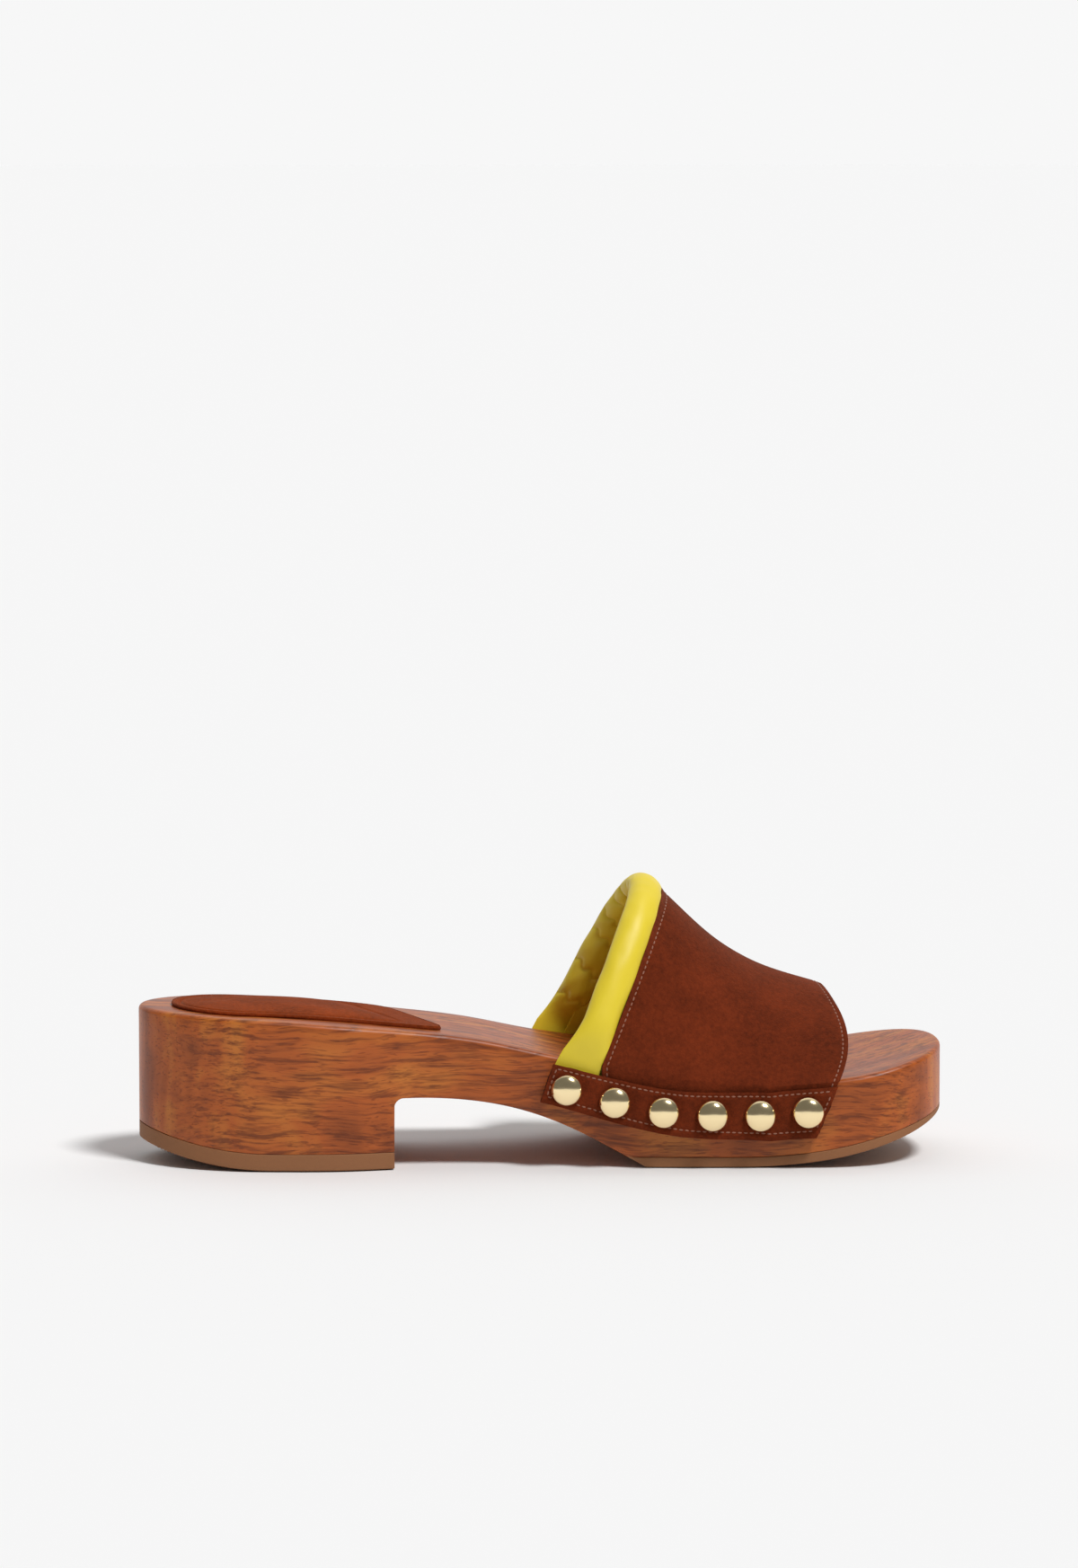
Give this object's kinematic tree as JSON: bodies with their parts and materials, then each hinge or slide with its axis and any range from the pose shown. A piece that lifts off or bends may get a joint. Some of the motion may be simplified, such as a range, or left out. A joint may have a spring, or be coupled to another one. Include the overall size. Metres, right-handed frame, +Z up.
{
  "type": "wooden clog",
  "caption": "Open-toed slide clog for the left foot: carved wooden sole on a block heel, suede vamp with padded collar and a studded band each side",
  "frame": {"origin": "middle of the bounding box's base, on the ground under the clog", "axes": "+X from the heel to the toe, +Y to the outer side of the foot, +Z up"},
  "size_m": [0.255, 0.1034, 0.0886],
  "materials": {
    "alder_wood": "oiled, open grain",
    "brown_suede": "napped suede",
    "yellow_leather": "smooth, semi-matt",
    "tan_rubber": "matt, moulded",
    "padding_foam": "open-cell foam",
    "brass": "polished",
    "nail_steel": "drawn wire"
  },
  "bodies": {
    "root": {"collar_cover": "yellow_leather", "collar_foam": "padding_foam", "forefoot_outsole": "tan_rubber", "heel_nail_1": "nail_steel", "heel_nail_2": "nail_steel", "heel_nail_3": "nail_steel", "heel_nail_4": "nail_steel", "heel_nail_5": "nail_steel", "heel_pad_cover": "brown_suede", "heel_pad_foam": "padding_foam", "rubber_heel_lift": "tan_rubber", "stud_band_inner": "brown_suede", "stud_band_outer": "brown_suede", "stud_inner_1": "brass", "stud_inner_2": "brass", "stud_inner_3": "brass", "stud_inner_4": "brass", "stud_inner_5": "brass", "stud_inner_6": "brass", "stud_outer_1": "brass", "stud_outer_2": "brass", "stud_outer_3": "brass", "stud_outer_4": "brass", "stud_outer_5": "brass", "stud_outer_6": "brass", "vamp": "brown_suede", "vamp_lining": "yellow_leather", "wooden_sole": "alder_wood"}
  },
  "joints": []
}
